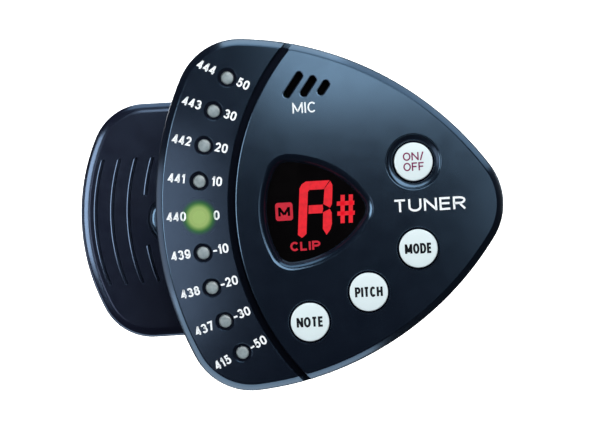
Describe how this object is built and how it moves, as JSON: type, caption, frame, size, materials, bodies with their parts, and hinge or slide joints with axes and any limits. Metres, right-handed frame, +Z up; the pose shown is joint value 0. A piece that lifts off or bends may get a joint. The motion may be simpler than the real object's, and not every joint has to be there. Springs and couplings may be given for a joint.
{
  "type": "clip-on instrument tuner",
  "caption": "Pick-shaped clip-on tuner with an arc of meter lamps, a colour display and round keys, on a swivelling and tilting joint above a sprung clip with ridged paddles.",
  "frame": {"origin": "centre of the front jaw's pad, on the face that grips the instrument", "axes": "+X across the face towards the pick's tip, +Y from the face to the back (the way the front pad faces), +Z up the face"},
  "size_m": [0.0741, 0.0449, 0.0608],
  "materials": {
    "navy_case": "satin moulded",
    "navy_clip": "fine moulded",
    "white_key": "satin",
    "lamp": "frosted translucent",
    "lamp_lit": "frosted translucent, lit",
    "smoked_window": "polished smoked acrylic",
    "black_plastic": "moulded",
    "rubber": "matte",
    "steel": "nickel plated",
    "brass": "rolled",
    "board": "solder mask",
    "ceramic": "fired",
    "wire_red": "insulation"
  },
  "bodies": {
    "clip_front": {"front_jaw": "navy_clip", "front_pad": "rubber", "hinge_pin": "steel", "pin_retainer": "steel", "clip_spring": "steel"},
    "clip_rear": {"rear_jaw": "navy_clip", "rear_pad": "rubber"},
    "swivel": {"swivel_arm": "navy_clip", "swivel_screw": "steel", "swivel_washer": "steel"},
    "head": {"front_cover": "navy_case", "meter_cover": "navy_case", "rear_cover": "navy_case", "case_screw_1": "steel", "case_screw_2": "steel", "case_screw_3": "steel", "circuit_board": "board", "controller_chip": "black_plastic", "quartz_crystal": "steel", "display_window": "smoked_window", "display_module": "black_plastic", "meter_lamp_1": "lamp", "meter_lamp_2": "lamp", "meter_lamp_3": "lamp", "meter_lamp_4": "lamp", "meter_lamp_5": "lamp_lit", "meter_lamp_6": "lamp", "meter_lamp_7": "lamp", "meter_lamp_8": "lamp", "meter_lamp_9": "lamp", "microphone": "steel", "mic_gasket": "rubber", "piezo_disc": "brass", "piezo_ceramic": "ceramic", "piezo_wire_signal": "wire_red", "piezo_wire_ground": "rubber", "battery_contact_negative": "brass", "battery_contact_positive": "brass", "coin_cell": "steel", "on_off_switch": "steel", "mode_switch": "steel", "pitch_switch": "steel", "note_switch": "steel", "tilt_pin": "steel"},
    "battery_door": {"battery_door": "navy_case"},
    "on_off_button": {"on_off_cap": "white_key", "on_off_plunger": "black_plastic"},
    "mode_button": {"mode_cap": "white_key", "mode_plunger": "black_plastic"},
    "pitch_button": {"pitch_cap": "white_key", "pitch_plunger": "black_plastic"},
    "note_button": {"note_cap": "white_key", "note_plunger": "black_plastic"}
  },
  "joints": [
    {"name": "clip_open", "type": "hinge", "parent": "clip_front", "child": "clip_rear", "pos_m": [-0.0155, 0.0032, 0], "axis": [0, 0, 1], "range_deg": [0, 30], "stiffness_Nm_per_rad": 0.15, "springref_deg": -57.3, "deforming": ["clip_spring"]},
    {"name": "swivel_turn", "type": "hinge", "parent": "clip_front", "child": "swivel", "pos_m": [-0.02385, -0.0054, 0], "axis": [0, -1, 0], "range_deg": [-170, 170]},
    {"name": "head_tilt", "type": "hinge", "parent": "swivel", "child": "head", "pos_m": [-0.02385, -0.011, 0], "axis": [0, 0, -1], "range_deg": [0, 90]},
    {"name": "battery_door_turn", "type": "hinge", "parent": "head", "child": "battery_door", "pos_m": [0.003, -0.014, 0], "axis": [0, 1, 0], "range_deg": [0, 60]},
    {"name": "on_off_press", "type": "slide", "parent": "head", "child": "on_off_button", "axis": [0, 1, 0], "range_m": [0, 0.0003], "stiffness_N_per_m": 3000, "springref_m": -0.0001},
    {"name": "mode_press", "type": "slide", "parent": "head", "child": "mode_button", "axis": [0, 1, 0], "range_m": [0, 0.0003], "stiffness_N_per_m": 3000, "springref_m": -0.0001},
    {"name": "pitch_press", "type": "slide", "parent": "head", "child": "pitch_button", "axis": [0, 1, 0], "range_m": [0, 0.0003], "stiffness_N_per_m": 3000, "springref_m": -0.0001},
    {"name": "note_press", "type": "slide", "parent": "head", "child": "note_button", "axis": [0, 1, 0], "range_m": [0, 0.0003], "stiffness_N_per_m": 3000, "springref_m": -0.0001}
  ]
}
